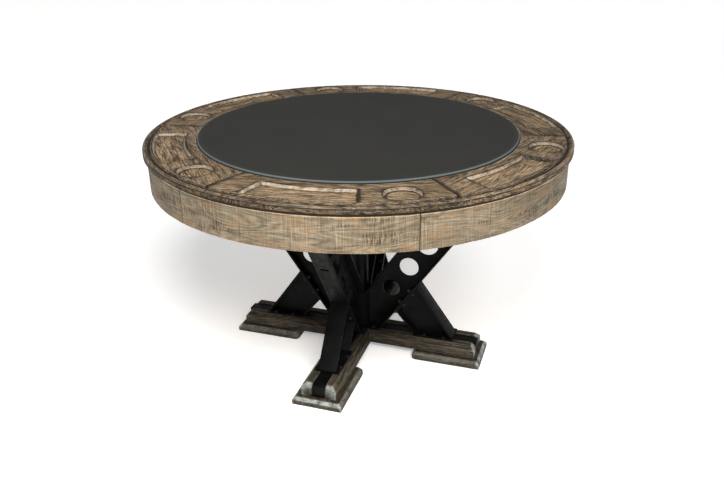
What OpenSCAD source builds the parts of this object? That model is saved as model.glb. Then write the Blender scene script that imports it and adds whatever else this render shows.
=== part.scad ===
// Round gaming table. A felt covered panel drops into a six part wooden rail,
// and the top stands on a steel column, four leaning bracket arms with struts,
// and a cross shaped wooden foot.
// Millimetres. The origin is on the floor under the table's centre, +Z up,
// and the foot's four arms lie along +X, +Y, -X and -Y.

/* [Top] */
// Height of the rail's flat top face above the floor
rail_top = 787; // [760:1:820]
// Outer diameter of the rail
rail_d = 1372; // [1360:2:1400]
// Diameter of the round opening in the rail
opening_d = 1042; // [1030:2:1050]
// Thickness of the rail
rail_t = 24; // [22:1:28]
// Direction of the first joint between two rail segments, from +X
rail_joint_deg = 10.7; // [0:0.1:30]
// Height of the felt above the rail
felt_rise = 6.5; // [4:0.5:8]
// Gap between the felt covered panel and the rail, all round
panel_gap = 2; // [1:0.5:4]
// Thickness of the felt
felt_t = 2; // [1.5:0.5:2.5]

/* [Trays and cups] */
// Depth of the trays and of the cup recesses
recess_depth = 9; // [6:1:10]
// Radius of each cup recess
cup_r = 51; // [45:1:52]
// Distance of the cup recesses from the table's centre
cup_place_r = 605; // [600:1:606]
// Inner radius of the trays
tray_in_r = 555; // [545:1:580]
// Outer radius of the trays
tray_out_r = 655; // [630:1:656]
// Start of each tray, from the segment's first end
tray_start_deg = 9; // [8:0.5:12]
// Length of each tray
tray_sweep_deg = 28.8; // [20:0.1:28.8]
// Direction of each cup, from the segment's first end
cup_deg = 48.4; // [48:0.1:50]

/* [Apron] */
// Outer radius of the apron
apron_r = 675; // [672:1:680]
// Thickness of the apron
apron_t = 22; // [18:1:22]
// Height of the apron
apron_h = 110; // [90:1:120]
// Direction of the first joint between two apron pieces, from +X
apron_joint_deg = 1.6; // [0:0.1:5]

/* [Foot] */
// Distance from the centre to the outer end of a foot pad
pad_end = 455; // [450:1:480]
// Length of a foot pad
pad_l = 241; // [220:1:260]
// Width of a foot pad
pad_w = 168; // [150:1:180]
// Thickness of a foot pad
pad_t = 26; // [22:1:30]
// Distance from the centre to the end of a beam
beam_end = 433; // [420:1:440]
// Half of the gap between the two beams of an arm
beam_gap = 22; // [21:1:26]
// Width of a beam
beam_w = 38; // [34:1:42]
// Height of a beam
beam_h = 44; // [38:1:48]

/* [Steelwork] */
// Outer diameter of the column
column_d = 61; // [56:1:61]
// Thickness of the bracket webs and flanges
plate_t = 6; // [4:1:8]
// Width of the bracket flanges
flange_w = 62; // [56:1:64]
// Run of a bracket arm for each millimetre of rise
lean = 0.695; // [0.68:0.005:0.71]

/* [Hidden] */

$fn = 96;
eps = 0.02;
segments = 6;
segment_deg = 360 / segments;
joint_gap_deg = 0.05;

rail_r = rail_d / 2;
rail_in_r = opening_d / 2;
rail_z = rail_top - rail_t;
deck_t = 18;
deck_z = rail_z - deck_t;
deck_r = apron_r - apron_t - 1;
apron_z = rail_z - apron_h;

// The rail's outer moulding is a round bead behind a cove.
bead_r = 6;
bead_drop = 1;
cove_r = 7;
cove_place_r = rail_r - 2 * bead_r - cove_r;
edge_chamfer = 3;

felt_r = rail_in_r - panel_gap;
felt_top = rail_top + felt_rise;
felt_round = 5;
foam_t = 9;
hem_in_r = 470;

spline_t = 4;
spline_w = 40;
spline_in_r = 560;
spline_l = 80;
spline_z = rail_z + 5;

// Glued blocks inside the apron reach past the deck's edge by block_reach.
block_reach = 0.5;
backer_sweep_deg = 8;
backer_t = 22;
backer_clear = 12;
glue_block_places = [18, 38];
glue_block_sweep_deg = 4;
glue_block_w = 30;
glue_block_h = 32;

cleat_t = 18;
cleat_w = 90;
cleat_start = 370;
cleat_end = 618;
bracket_top = deck_z - cleat_t;

beam_z = pad_t;
beam_top = beam_z + beam_h;
spine_w = 40;
spine_wall = 3;
spine_top = beam_z + spine_w;
spine_end = beam_end - 4;
cap_t = 3;

column_r = column_d / 2;
column_wall = 4;
plate_r = 75;
plate_z = deck_z - plate_t;

// A bracket arm lies in its own plane, whose points are [distance out, height].
// Its middle line passes through the centre of its lowest hole.
hub_s = column_r + 0.5;
low_hole = [118, 227];
arm_half_run = 77;
arm_top_z = bracket_top - plate_t;
arm_foot_s = outer_edge(beam_top);
arm_outer_top = outer_edge(bracket_top);
arm_inner_top = arm_outer_top - 2 * arm_half_run;
arm_inner_at_hub_z = low_hole[1] + (hub_s - low_hole[0] + arm_half_run) / lean;
arm_deg = atan(1 / lean);
slot_z = 438;
slot_r = 5;
slot_l = 30;

// Distance out of the arm's outer edge at height z.
function outer_edge(z) = low_hole[0] + arm_half_run + lean * (z - low_hole[1]);

// Round holes climb each arm and grow with height.
arm_hole_count = 5;
arm_hole_step = 110;
arm_hole_r = 31;
arm_hole_growth = 3;

// A strut runs from the foot up to the arm's outer edge.
strut_in_s = 211;
strut_out_s = 352;
strut_top = [outer_edge(258), 258];
strut_knee = [outer_edge(152), 152];

foot_plate_w = 84;
mitre_gap = 0.5;

// Where the fasteners go, as distances out along an arm or as turns round the table.
rail_screw_degs = [4.5, 40.7, 56.5];
rail_screw_place_r = 600;
column_screw_place_r = 55;
top_screw_places = [0.16, 0.8];
top_screw_y = 19;
bolt_places = [35, 92];
bolt_y = 19;
foot_screw_places = [62, 250, 318];
foot_screw_y = 35;
pad_screw_places = [280, 400];
pad_screw_y = 44;
spine_screw_s = 340;
pad_screw_z = 8;

// Fastener sizes. A length is from under the head to the tip.
screw_r = 3;
screw_head_t = 3.5;
rail_screw_l = deck_t + 11;
column_screw_l = 19;
bracket_screw_l = 37;
foot_screw_l = 42;
pad_screw_l = 50;
bolt_r = 4;
bolt_head_t = 5.5;
bolt_end = 9;
nut_r = 7;
nut_t = 6.5;
hole_clear = 0.2;

oak = "#9a8264";
pale_oak = "#a8927a";
ply = "#b99c72";
charcoal = "#3a3935";
steel = "#1d1f1f";
bright = "#55585a";

// ---------- helpers ----------

// Turns children to foot arm k: 0 right, 1 back, 2 left, 3 front.
module on_arm(k) rotate([0, 0, 90 * k]) children();

// A piece of a ring, from the section (radius, height) given as children.
module ring_piece(start, sweep) rotate([0, 0, start]) rotate_extrude(angle = sweep, $fn = 180) children();

// Where the line through p along u meets the line through q along v.
function meet(p, u, q, v) = p + u * cross(q - p, v) / cross(u, v);
function along(p, q) = (q - p) / norm(q - p);
function left_of(u) = [-u[1], u[0]];

// The corners of a convex outline, listed anticlockwise, moved inwards by t.
function inset(corners, t) = [
    for (i = [0 : len(corners) - 1]) let (
        here = corners[i],
        u = along(corners[(i + len(corners) - 1) % len(corners)], here),
        v = along(here, corners[(i + 1) % len(corners)])
    ) meet(here + t * left_of(u), u, here + t * left_of(v), v)
];

// A flanged plate in an arm's plane: a wide rim round the outline, and a thin web.
module flanged_plate(corners) rotate([90, 0, 0]) {
    linear_extrude(flange_w, center = true) difference() {
        polygon(corners);
        polygon(inset(corners, plate_t));
    }
    linear_extrude(plate_t, center = true) polygon(inset(corners, plate_t / 2));
}

// A foot plate on the beams, from start to stop along an arm.
// A mitre keeps its inner corners clear of the plates of the two neighbouring arms.
module foot_plate(start, stop)
    translate([0, 0, beam_top])
        linear_extrude(plate_t)
            intersection() {
                translate([start, -foot_plate_w / 2]) square([stop - start, foot_plate_w]);
                polygon([[mitre_gap, 0], [stop, mitre_gap - stop], [stop, stop - mitre_gap]]);
            }

// A screw that points up, with its head's underside at z = 0.
module screw_up(length) {
    translate([0, 0, -screw_head_t]) cylinder(h = screw_head_t, r = 2 * screw_r);
    translate([0, 0, -eps]) cylinder(h = length, r = screw_r);
}

module screw_hole(length) translate([0, 0, -1]) cylinder(h = length + 2, r = screw_r + hole_clear);

// ---------- where the fasteners go ----------

module rail_screw_places()
    for (i = [0 : segments - 1], a = rail_screw_degs)
        rotate([0, 0, rail_joint_deg + i * segment_deg + a])
            translate([rail_screw_place_r, 0, deck_z])
                children();

module column_screw_places()
    for (a = [45 : 90 : 315])
        rotate([0, 0, a]) translate([column_screw_place_r, 0, plate_z]) children();

module bracket_screw_places()
    for (k = [0 : 3], u = top_screw_places, y = [-top_screw_y, top_screw_y])
        on_arm(k)
            translate([arm_inner_top + u * (arm_outer_top - arm_inner_top), y, arm_top_z])
                children();

module foot_screw_places()
    for (k = [0 : 3], s = foot_screw_places, y = [-foot_screw_y, foot_screw_y])
        on_arm(k) translate([s, y, beam_top + plate_t]) rotate([180, 0, 0]) children();

module pad_screw_places()
    for (k = [0 : 3])
        on_arm(k) {
            for (s = pad_screw_places, y = [-pad_screw_y, pad_screw_y])
                translate([s, y, pad_screw_z]) children();
            translate([spine_screw_s, 0, pad_screw_z]) children();
        }

// On one arm: its outer edge, with X up along the edge and Z into the arm.
module at_knee() translate([strut_knee[0], 0, strut_knee[1]]) rotate([0, -arm_deg, 0]) children();

// On one arm: the bolts through the strut's plate and the arm's outer flange.
module strut_bolt_places()
    at_knee() for (u = bolt_places, y = [-bolt_y, bolt_y]) translate([u, y, 0]) children();

// ---------- the panel that lifts out ----------

// Section of a round edged disc: radius, underside, top and edge rounding.
module disc_section(r, low, high, round_r) {
    translate([0, low]) square([r - round_r, high - low]);
    translate([0, low]) square([r, high - low - round_r]);
    translate([r - round_r, high - round_r]) circle(round_r, $fn = 48);
}

module felt_cover() color(charcoal)
    rotate_extrude($fn = 180)
        difference() {
            disc_section(felt_r, rail_z, felt_top, felt_round);
            disc_section(felt_r - felt_t, rail_z + felt_t, felt_top - felt_t, felt_round - felt_t);
            translate([-1, rail_z - 1]) square([hem_in_r + 1, felt_t + 2]);
        }

module panel_foam() color("#6f6f6a")
    rotate_extrude($fn = 180)
        disc_section(felt_r - felt_t, felt_top - felt_t - foam_t, felt_top - felt_t, felt_round - felt_t);

module panel_board() color(ply)
    translate([0, 0, rail_z + felt_t])
        cylinder(h = felt_top - 2 * felt_t - foam_t - rail_z, r = felt_r - felt_t, $fn = 180);

// ---------- the rail ----------

module rail_section() {
    difference() {
        union() {
            polygon([
                [rail_in_r, rail_z], [rail_r - edge_chamfer, rail_z], [rail_r, rail_z + edge_chamfer],
                [rail_r, rail_top - bead_drop - bead_r],
                [rail_r - bead_r, rail_top - bead_drop - bead_r / 2],
                [cove_place_r, rail_top], [rail_in_r, rail_top],
            ]);
            translate([rail_r - bead_r, rail_top - bead_drop - bead_r]) circle(bead_r, $fn = 48);
        }
        translate([cove_place_r, rail_top]) circle(cove_r, $fn = 48);
    }
}

// Section of a tray, whose long walls lean out a little.
module tray_section()
    polygon([
        [tray_in_r, rail_top + eps], [tray_in_r + 4, rail_top - recess_depth],
        [tray_out_r - 4, rail_top - recess_depth], [tray_out_r, rail_top + eps],
    ]);

module spline_box(clear)
    translate([spline_in_r - clear, -spline_w / 2 - clear, spline_z - clear])
        cube([spline_l + 2 * clear, spline_w + 2 * clear, spline_t + 2 * clear]);

module rail_segment(i) color(oak) {
    start = rail_joint_deg + i * segment_deg;
    difference() {
        ring_piece(start + joint_gap_deg / 2, segment_deg - joint_gap_deg) rail_section();
        ring_piece(start + tray_start_deg, tray_sweep_deg) tray_section();
        rotate([0, 0, start + cup_deg]) translate([cup_place_r, 0, rail_top - recess_depth])
            cylinder(h = recess_depth + 1, r = cup_r);
        for (a = [start, start + segment_deg]) rotate([0, 0, a]) spline_box(hole_clear);
        rail_screw_places() screw_hole(rail_screw_l + 1);
    }
}

module rail_splines() color(ply)
    for (i = [0 : segments - 1]) rotate([0, 0, rail_joint_deg + i * segment_deg]) spline_box(0);

module deck() color(ply)
    difference() {
        translate([0, 0, deck_z]) cylinder(h = deck_t, r = deck_r, $fn = 180);
        rail_screw_places() screw_hole(deck_t + 2);
        column_screw_places() screw_hole(column_screw_l + 1);
        bracket_screw_places() screw_hole(bracket_screw_l + 1);
    }

module rail_screws() color(bright) rail_screw_places() screw_up(rail_screw_l);

// ---------- the apron ----------

module apron_section() {
    in_r = apron_r - apron_t;
    polygon([
        [in_r, apron_z], [apron_r - edge_chamfer, apron_z], [apron_r, apron_z + edge_chamfer],
        [apron_r, rail_z - edge_chamfer], [apron_r - edge_chamfer, rail_z], [in_r, rail_z],
    ]);
}

module apron(i) color(pale_oak)
    ring_piece(apron_joint_deg + i * segment_deg + joint_gap_deg / 2, segment_deg - joint_gap_deg)
        apron_section();

// Blocks glued inside the apron, one behind each joint.
module apron_backers() color(ply)
    for (i = [0 : segments - 1])
        ring_piece(apron_joint_deg + i * segment_deg - backer_sweep_deg / 2, backer_sweep_deg)
            translate([deck_r - backer_t, apron_z + backer_clear])
                square([backer_t + block_reach, deck_z - apron_z - backer_clear]);

// Three sided blocks glued in the corner under the deck.
module glue_blocks() color(ply)
    for (i = [0 : segments - 1], a = glue_block_places)
        ring_piece(apron_joint_deg + i * segment_deg + a, glue_block_sweep_deg)
            polygon([
                [deck_r - glue_block_w, deck_z], [deck_r + block_reach, deck_z - glue_block_h],
                [deck_r + block_reach, deck_z],
            ]);

// ---------- the steelwork ----------

module cleat(k) color(ply)
    on_arm(k) difference() {
        translate([cleat_start, -cleat_w / 2, bracket_top])
            cube([cleat_end - cleat_start, cleat_w, cleat_t]);
        on_arm(-k) bracket_screw_places() screw_hole(bracket_screw_l + 1);
    }

module column() color(steel)
    translate([0, 0, spine_top]) difference() {
        cylinder(h = plate_z - spine_top, r = column_r);
        translate([0, 0, -1]) cylinder(h = plate_z - spine_top + 2, r = column_r - column_wall);
    }

module column_top_plate() color(steel)
    difference() {
        translate([0, 0, plate_z]) cylinder(h = plate_t, r = plate_r);
        column_screw_places() screw_hole(plate_t);
    }

module column_screws() color(bright) column_screw_places() screw_up(column_screw_l);

arm_corners = [
    [hub_s, beam_top], [arm_foot_s, beam_top], [arm_outer_top, bracket_top],
    [arm_inner_top, bracket_top], [hub_s, arm_inner_at_hub_z],
];

module bracket(k) color(steel)
    on_arm(k) difference() {
        union() {
            flanged_plate(arm_corners);
            foot_plate(hub_s, arm_foot_s);
        }
        for (i = [0 : arm_hole_count - 1])
            translate([
                low_hole[0] + i * arm_hole_step * cos(arm_deg), 0,
                low_hole[1] + i * arm_hole_step * sin(arm_deg),
            ])
                rotate([90, 0, 0])
                    cylinder(h = plate_t + 2, r = arm_hole_r + i * arm_hole_growth, center = true);
        translate([outer_edge(slot_z), 0, slot_z]) rotate([0, -arm_deg, 0]) slot_cut();
        on_arm(-k) bracket_screw_places() screw_hole(plate_t);
        on_arm(-k) foot_screw_places() screw_hole(plate_t);
        strut_bolt_places() cylinder(h = 4 * plate_t, r = bolt_r + hole_clear, center = true);
    }

// A slot with round ends, across the flange.
module slot_cut() {
    reach = slot_l / 2 - slot_r;
    for (y = [-reach, reach]) translate([0, y, 0]) cylinder(h = 4 * plate_t, r = slot_r, center = true);
    cube([2 * slot_r, 2 * reach, 4 * plate_t], center = true);
}

module bracket_screws() color(bright) bracket_screw_places() screw_up(bracket_screw_l);

strut_corners = [
    [strut_in_s, beam_top], [strut_out_s, beam_top], strut_top, strut_knee,
];

// A strut, whose upper plate lies along the outside of the arm.
module strut(k) color(steel)
    on_arm(k) difference() {
        union() {
            flanged_plate(strut_corners);
            foot_plate(strut_in_s, strut_out_s);
        }
        on_arm(-k) foot_screw_places() screw_hole(plate_t);
        strut_bolt_places() cylinder(h = 4 * plate_t, r = bolt_r + hole_clear, center = true);
    }

module strut_bolts() color(bright)
    for (k = [0 : 3]) on_arm(k) strut_bolt_places() {
        translate([0, 0, -plate_t - bolt_head_t]) cylinder(h = bolt_head_t, r = nut_r, $fn = 6);
        translate([0, 0, -plate_t - eps]) cylinder(h = 2 * plate_t + bolt_end, r = bolt_r);
    }

module strut_nuts() color(bright)
    for (k = [0 : 3]) on_arm(k) strut_bolt_places()
        translate([0, 0, plate_t]) difference() {
            cylinder(h = nut_t, r = nut_r, $fn = 6);
            translate([0, 0, -1]) cylinder(h = nut_t + 2, r = bolt_r + hole_clear);
        }

module foot_screws() color(bright) foot_screw_places() screw_up(foot_screw_l);

// ---------- the foot ----------

// A square tube along +X, from start to stop.
module spine_tube(start, stop) color(steel)
    difference() {
        translate([start, -spine_w / 2, beam_z]) cube([stop - start, spine_w, spine_w]);
        translate([start - 1, -spine_w / 2 + spine_wall, beam_z + spine_wall])
            cube([stop - start + 2, spine_w - 2 * spine_wall, spine_w - 2 * spine_wall]);
        for (s = [-spine_screw_s, spine_screw_s])
            translate([s, 0, beam_z - 1]) cylinder(h = spine_wall + 2, r = screw_r + hole_clear);
    }

module spine_caps() color(steel)
    for (k = [0 : 3]) on_arm(k) {
        plug = spine_w - 2 * spine_wall;
        plug_l = 12;
        translate([spine_end, -spine_w / 2, beam_z]) cube([cap_t, spine_w, spine_w]);
        translate([spine_end - plug_l, -plug / 2, beam_z + spine_wall]) cube([plug_l + eps, plug, plug]);
    }

// The beam of an arm on its left side (side = 1) or right side (side = -1).
module beam(k, side) color(oak) {
    end_bevel = 17;
    side_bevel = 14;
    pad_hole_l = 36;
    out_y = beam_gap + beam_w;
    on_arm(k) mirror([0, side < 0 ? 1 : 0, 0]) difference() {
        translate([0, 0, beam_z]) linear_extrude(beam_h)
            polygon([[beam_gap, beam_gap], [beam_end, beam_gap], [beam_end, out_y], [out_y, out_y]]);
        translate([beam_end - end_bevel, 0, beam_top]) rotate([0, 45, 0])
            translate([-50, 0, 0]) cube([100, 100, 50]);
        translate([0, out_y - side_bevel, beam_top]) rotate([-45, 0, 0])
            translate([-10, -50, 0]) cube([beam_end + 20, 100, 50]);
        for (s = foot_screw_places)
            translate([s, foot_screw_y, beam_top + plate_t - foot_screw_l - 2])
                cylinder(h = foot_screw_l + 2, r = screw_r + hole_clear);
        for (s = pad_screw_places)
            translate([s, pad_screw_y, beam_z - 1])
                cylinder(h = pad_hole_l, r = screw_r + hole_clear);
    }
}

// A foot pad: its plan, cut by two sections that give the bevels.
module pad(k) color(oak) {
    bevel = 11.5;
    corner = 14;
    sink_r = 7;
    start = pad_end - pad_l;
    half = pad_w / 2;
    on_arm(k) difference() {
        intersection() {
            linear_extrude(pad_t) union() {
                translate([start + corner, -half]) square([pad_l - corner, pad_w]);
                translate([start, -half + corner]) square([pad_l - corner, pad_w - 2 * corner]);
                for (y = [-half + corner, half - corner])
                    translate([start + corner, y]) circle(corner, $fn = 48);
            }
            rotate([90, 0, 0]) linear_extrude(pad_w + 2, center = true)
                polygon([
                    [start, 0], [pad_end, 0], [pad_end, pad_t - bevel], [pad_end - bevel, pad_t],
                    [start + bevel, pad_t], [start, pad_t - bevel],
                ]);
            translate([start - 1, 0, 0]) rotate([90, 0, 90]) linear_extrude(pad_l + 2)
                polygon([
                    [-half, 0], [half, 0], [half, pad_t - bevel], [half - bevel, pad_t],
                    [bevel - half, pad_t], [-half, pad_t - bevel],
                ]);
        }
        on_arm(-k) pad_screw_places() {
            translate([0, 0, -pad_screw_z - 1]) cylinder(h = pad_screw_z + 1, r = sink_r);
            screw_hole(pad_t);
        }
    }
}

module pad_screws() color(bright) pad_screw_places() screw_up(pad_screw_l);

// ---------- what is drawn ----------

felt_cover();
panel_foam();
panel_board();
rail_segment(0);  // rail_segment_1
rail_segment(1);  // rail_segment_2
rail_segment(2);  // rail_segment_3
rail_segment(3);  // rail_segment_4
rail_segment(4);  // rail_segment_5
rail_segment(5);  // rail_segment_6
rail_splines();
deck();
rail_screws();
apron(0);  // apron_1
apron(1);  // apron_2
apron(2);  // apron_3
apron(3);  // apron_4
apron(4);  // apron_5
apron(5);  // apron_6
apron_backers();
glue_blocks();
cleat(0);  // cleat_right
cleat(1);  // cleat_back
cleat(2);  // cleat_left
cleat(3);  // cleat_front
column();
column_top_plate();
column_screws();
bracket(0);  // bracket_right
bracket(1);  // bracket_back
bracket(2);  // bracket_left
bracket(3);  // bracket_front
bracket_screws();
strut(0);  // strut_right
strut(1);  // strut_back
strut(2);  // strut_left
strut(3);  // strut_front
strut_bolts();
strut_nuts();
foot_screws();
spine_tube(-spine_end, spine_end);  // spine_long
on_arm(3) spine_tube(spine_w / 2, spine_end);  // spine_front
on_arm(1) spine_tube(spine_w / 2, spine_end);  // spine_back
spine_caps();
beam(0, -1);  // beam_right_front
beam(0, 1);  // beam_right_back
beam(1, -1);  // beam_back_right
beam(1, 1);  // beam_back_left
beam(2, -1);  // beam_left_back
beam(2, 1);  // beam_left_front
beam(3, -1);  // beam_front_left
beam(3, 1);  // beam_front_right
pad(0);  // pad_right
pad(1);  // pad_back
pad(2);  // pad_left
pad(3);  // pad_front
pad_screws();
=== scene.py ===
"""Round gaming table: the looks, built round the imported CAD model.

Lengths are millimetres up to the point where they are passed to Blender, in metres.
The rail, apron, felt, beams and pads are new meshes; the ironwork is softened copies
of its CAD nodes; hidden pieces keep their CAD nodes and get a better material.
"""

import math

import bmesh
import bpy
import numpy as np
from mathutils import Matrix, Vector, noise


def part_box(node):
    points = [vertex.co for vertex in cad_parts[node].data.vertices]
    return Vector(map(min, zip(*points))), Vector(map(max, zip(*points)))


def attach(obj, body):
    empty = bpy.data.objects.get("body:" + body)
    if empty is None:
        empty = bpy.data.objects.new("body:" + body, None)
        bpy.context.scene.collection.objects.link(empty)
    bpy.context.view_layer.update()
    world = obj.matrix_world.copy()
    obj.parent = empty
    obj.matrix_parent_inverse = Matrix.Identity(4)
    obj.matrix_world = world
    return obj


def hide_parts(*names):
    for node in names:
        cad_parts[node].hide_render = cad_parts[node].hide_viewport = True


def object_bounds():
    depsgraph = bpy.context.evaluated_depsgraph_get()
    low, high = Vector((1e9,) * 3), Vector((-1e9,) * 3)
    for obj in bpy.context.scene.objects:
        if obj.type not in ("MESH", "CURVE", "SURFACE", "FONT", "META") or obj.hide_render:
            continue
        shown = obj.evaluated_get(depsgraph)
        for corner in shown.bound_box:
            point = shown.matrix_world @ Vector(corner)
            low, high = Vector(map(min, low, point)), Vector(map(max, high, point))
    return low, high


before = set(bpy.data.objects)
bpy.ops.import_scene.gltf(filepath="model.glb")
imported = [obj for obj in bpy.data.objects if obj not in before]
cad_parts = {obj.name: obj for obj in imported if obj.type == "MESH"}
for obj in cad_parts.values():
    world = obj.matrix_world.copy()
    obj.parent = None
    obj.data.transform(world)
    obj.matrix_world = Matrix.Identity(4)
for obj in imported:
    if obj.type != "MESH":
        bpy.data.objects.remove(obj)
CAD_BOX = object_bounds()

MM = 0.001

# -------- sizes

SEGMENTS = 6
SEGMENT_DEG = 360 / SEGMENTS
SEAM = 0.35

# the rail; turns are measured from a segment's first joint, and RAIL_DEG is the turn for 1 mm
RAIL_JOINT_DEG = 10.7
TRAY_START_DEG = 9.0
TRAY_END_DEG = 37.8
CUP_DEG = 48.4
TRAY_IN = 555
TRAY_OUT = 655
TRAY_MIDDLE = (TRAY_IN + TRAY_OUT) / 2
RAIL_DEG = math.degrees(1 / TRAY_MIDDLE)
CUP_PLACE = 605
CUP_R = 51
CUP_MARGIN = 6
CUP_HALF_DEG = (CUP_R + CUP_MARGIN) * RAIL_DEG
RECESS = 9
# rows of points lie on a tray's edge and at these distances from it
EDGE_STEPS = (3, 1.6, 0.8, 0.3)
# rings of the cup recess, from its lip down and in to its middle: (radius, depth)
CUP_PROFILE = [(CUP_R + wider, depth) for wider, depth in (
    (3.5, 0.0), (1.8, 0.05), (0.8, 0.3), (0.1, 0.9), (-0.2, 1.8), (-0.5, 4.0), (-0.9, 6.4), (-1.8, 7.9),
    (-3.6, 8.8))] + [(radius, RECESS) for radius in (45, 39, 29, 17, 6, 1.2)]
COVE_PLACE = 667
COVE_R = 7
BEAD_R = 6
LOWER_EDGE = 3
INNER_EDGE = 1.6

# painted shade on each rail segment, set by how the light falls on it: how dark its outer face
# and bead are (below 0, painted light), and how much painted shade lies in the last end of its tray
RIM_PAINTED_SHADE = (0.7, 0.9, 0.8, 0.9, 1.0, -0.1)
TRAY_END_PAINTED_SHADE = (0.2, 0.0, 0.3, 0.0, 1.5, 1.0)

# the apron, with a painted highlight line APRON_LINE below its top
APRON_JOINT_DEG = 1.6
APRON_OUT = 675
APRON_IN = 653
APRON_EDGE = 3
APRON_LINE = 9.3
APRON_DEG = math.degrees(1 / APRON_OUT)

# the felt
FELT_ROUND = 5.0
FELT_THICK = 2.0
FELT_HEM_R = 470
FELT_ROWS = 300

# bevels of the foot, and the place beside the beams where a painted shadow lies on the pads
BEAM_BEVEL = 14
BEAM_END_BEVEL = 17
PAD_BEVEL = 11.5
PAD_SHADOW_Y = 61


def box_mm(name):
    """Lowest and highest corners of a CAD node, in millimetres."""
    return [[v / MM for v in corner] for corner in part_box(name)]


(_, _, RAIL_Z0), (_, _, RAIL_TOP) = box_mm("rail_segment_1")
RAIL_IN, RAIL_OUT = 521, CAD_BOX[1][0] / MM
QUIRK_Z = RAIL_TOP - 8.5
(_, _, FELT_Z0), (FELT_R, _, FELT_TOP) = box_mm("felt_cover")
(_, _, APRON_Z0), (_, _, APRON_Z1) = box_mm("apron_1")
PAD_LOW, PAD_HIGH = box_mm("pad_right")
(_, BEAM_GAP, BEAM_Z0), (BEAM_END, BEAM_SIDE, BEAM_Z1) = box_mm("beam_right_back")


# -------- number helpers

def lines(stops, step):
    """Values through every stop, with no gap larger than step."""
    out = [stops[0]]
    for a, b in zip(stops, stops[1:]):
        count = max(1, math.ceil((b - a) / step - 1e-6))
        out += [a + (b - a) * i / count for i in range(1, count + 1)]
    return np.array(out)


def near(edge, widths):
    """Stops on both sides of an edge, at each of the given distances."""
    return sorted([edge - w for w in widths] + [edge] + [edge + w for w in widths])


def rise(x, a, b):
    """0 below a, 1 above b, and a smooth rise between them."""
    t = np.clip((np.asarray(x, float) - a) / (b - a), 0, 1)
    return t * t * (3 - 2 * t)


def fall(x, a, b):
    """1 below a, and a smooth fall to 0 at b."""
    return 1 - rise(x, a, b)


def ridge(x, place, width):
    """1 at the place, falling to almost 0 two widths away on both sides."""
    return np.exp(-((x - place) / width) ** 2)


def field(points, size, seed=0.0):
    """Smooth noise from -1 to 1 at points in millimetres, with lumps of the given size."""
    k = 1 / size
    return np.array([noise.noise(Vector((x * k + seed, y * k - seed, z * k + 0.37 * seed)))
                     for x, y, z in points])


# -------- mesh helpers

def in_scene(name, data):
    """A new object with the given data, in the scene."""
    obj = bpy.data.objects.new(name, data)
    bpy.context.scene.collection.objects.link(obj)
    return obj


def paint(obj, slot):
    """Gives an object the slot, and the material for it."""
    obj.data.materials.clear()
    obj.data.materials.append(MATERIALS[slot])


def stand_in(name, mesh, body, slot, replaced):
    """An object that rides on a body and replaces a CAD node."""
    obj = in_scene(name, mesh)
    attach(obj, body)
    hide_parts(replaced)
    paint(obj, slot)
    return obj


def new_piece(name, verts, faces, slot, attributes, replaced, body="table"):
    """A closed mesh that replaces a CAD node."""
    mesh = bpy.data.meshes.new(name)
    mesh.from_pydata([tuple(v) for v in np.asarray(verts, float) * MM], [], faces)
    mesh.validate()
    for key, values in attributes.items():
        is_vector = np.ndim(values) == 2
        layer = mesh.attributes.new(key, "FLOAT_VECTOR" if is_vector else "FLOAT", "POINT")
        flat = np.asarray(values, np.float32).ravel()
        layer.data.foreach_set("vector" if is_vector else "value", flat)
    obj = stand_in(name, mesh, body, slot, replaced)
    bm = bmesh.new()
    bm.from_mesh(mesh)
    bmesh.ops.recalc_face_normals(bm, faces=bm.faces)
    bm.to_mesh(mesh)
    bm.free()
    return obj


def shade(obj, angle_deg):
    """Smooth shading, with creases sharper than the angle kept."""
    mesh = obj.data
    mesh.polygons.foreach_set("use_smooth", np.ones(len(mesh.polygons), bool))
    bm = bmesh.new()
    bm.from_mesh(mesh)
    limit = math.radians(angle_deg)
    for edge in bm.edges:
        edge.smooth = len(edge.link_faces) == 2 and edge.calc_face_angle(0) < limit
    bm.to_mesh(mesh)
    bm.free()


def vectors(items, key):
    """One vector property of every item, a row for each."""
    out = np.zeros(len(items) * 3)
    items.foreach_get(key, out)
    return out.reshape(-1, 3)


def mark_edges(obj, at_least, reach=3.0):
    """Writes the attribute "edge": up to 1 on convex edges, down to -1 in hollows, and no lower than
    at_least, which paints highlights.
    """
    mesh = obj.data
    co, normals = vectors(mesh.vertices, "co"), vectors(mesh.vertices, "normal")
    pairs = np.zeros(len(mesh.edges) * 2, np.int32)
    mesh.edges.foreach_get("vertices", pairs)
    a, b = pairs.reshape(-1, 2).T
    both_ways = ((a, b), (b, a))
    bend, count = np.zeros(len(co)), np.zeros(len(co))
    for here, there in both_ways:
        step = co[there] - co[here]
        np.add.at(bend, here, -(step * normals[here]).sum(1) / np.maximum((step ** 2).sum(1), 1e-12))
        np.add.at(count, here, 1)
    value = np.clip(bend / np.maximum(count, 1) * reach * MM, -1, 1)
    smoothings = 2
    for _ in range(smoothings):
        total = value.copy()
        for here, there in both_ways:
            np.add.at(total, here, value[there])
        value = total / (count + 1)
    layer = mesh.attributes.new("edge", "FLOAT", "POINT")
    layer.data.foreach_set("value", np.maximum(value, at_least).astype(np.float32))


def grid_faces(rows, columns):
    """Quads between the points of a grid stored row by row, whose last column joins the first."""
    return [(row + j, row + (j + 1) % columns, row + columns + (j + 1) % columns, row + columns + j)
            for row in range(0, (rows - 1) * columns, columns) for j in range(columns)]


def end_faces(rows, columns):
    """A face over the first row of a grid, and one over the last, wound like grid_faces."""
    last = (rows - 1) * columns
    return [tuple(reversed(range(columns))), tuple(range(last, last + columns))]


def section_normals(section):
    """Outward unit normals of a closed anticlockwise section."""
    p = np.array(section)
    run = np.roll(p, -1, 0) - np.roll(p, 1, 0)
    run /= np.linalg.norm(run, axis=1)[:, None]
    return np.stack([run[:, 1], -run[:, 0]], 1)


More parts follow.
